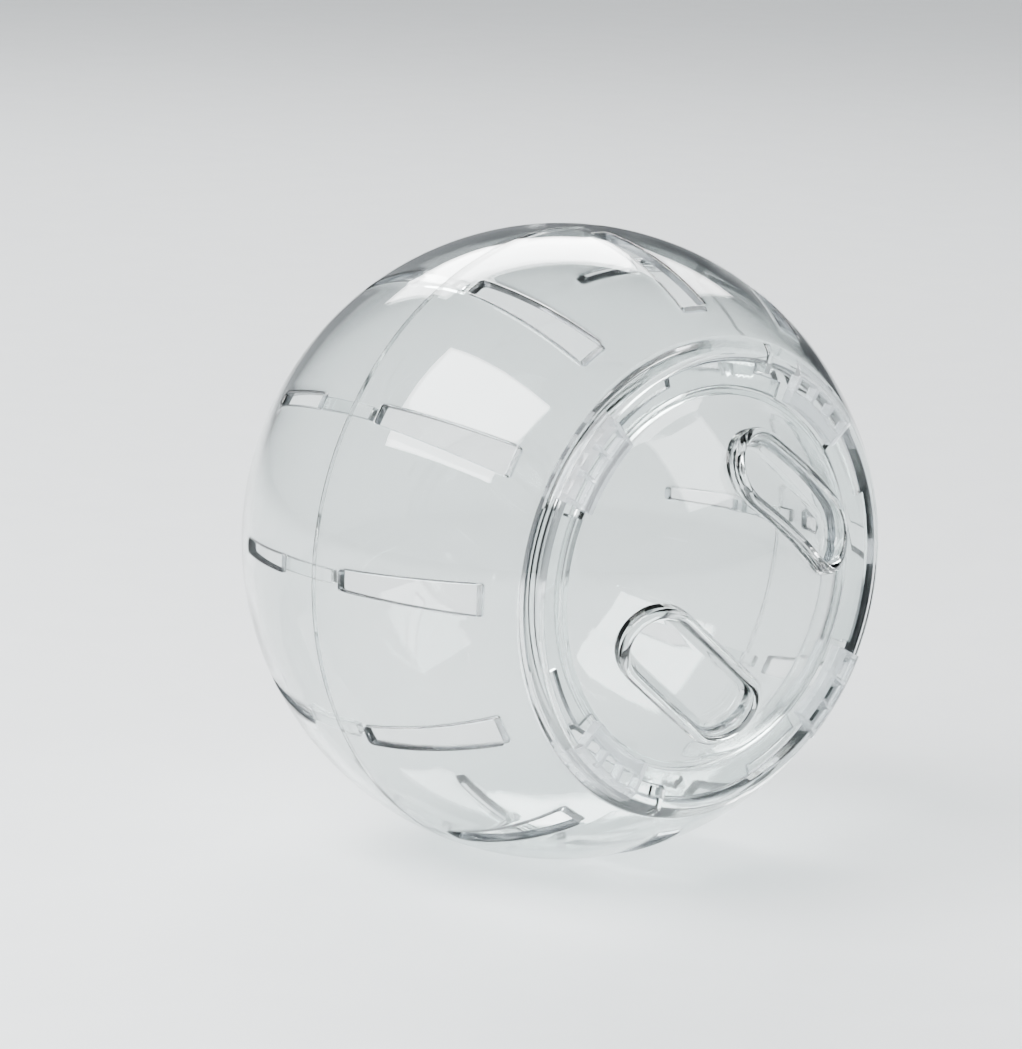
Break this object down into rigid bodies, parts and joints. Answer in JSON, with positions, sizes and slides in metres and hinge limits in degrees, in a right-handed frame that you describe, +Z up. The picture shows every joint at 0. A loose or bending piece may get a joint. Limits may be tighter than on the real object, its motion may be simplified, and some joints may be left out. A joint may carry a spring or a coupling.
{
  "type": "hamster ball",
  "caption": "Clear plastic small-pet exercise ball: two slotted half shells snapped together at a seam, and a domed twist-lock door with two finger wells",
  "frame": {"origin": "the centre of the ball, on the door's axis and in the plane of the seam", "axes": "+Z up, the door faces -Y, and the seam between the half shells is the XZ plane"},
  "size_m": [0.127, 0.1214, 0.127],
  "materials": {
    "clear_shell": "polished clear",
    "clear_door": "polished clear"
  },
  "bodies": {
    "ball": {"front_shell": "clear_shell", "rear_shell": "clear_shell", "door_collar": "clear_shell"},
    "door_guide": {"door_skirt": "clear_door"},
    "door": {"door": "clear_door"}
  },
  "joints": [
    {"name": "door_lift", "type": "slide", "parent": "ball", "child": "door_guide", "axis": [0, -1, 0], "range_m": [0, 0.03]},
    {"name": "door_twist", "type": "hinge", "parent": "door_guide", "child": "door", "pos_m": [0, -0.042, 0], "axis": [0, -1, 0], "range_deg": [0, 54]}
  ]
}
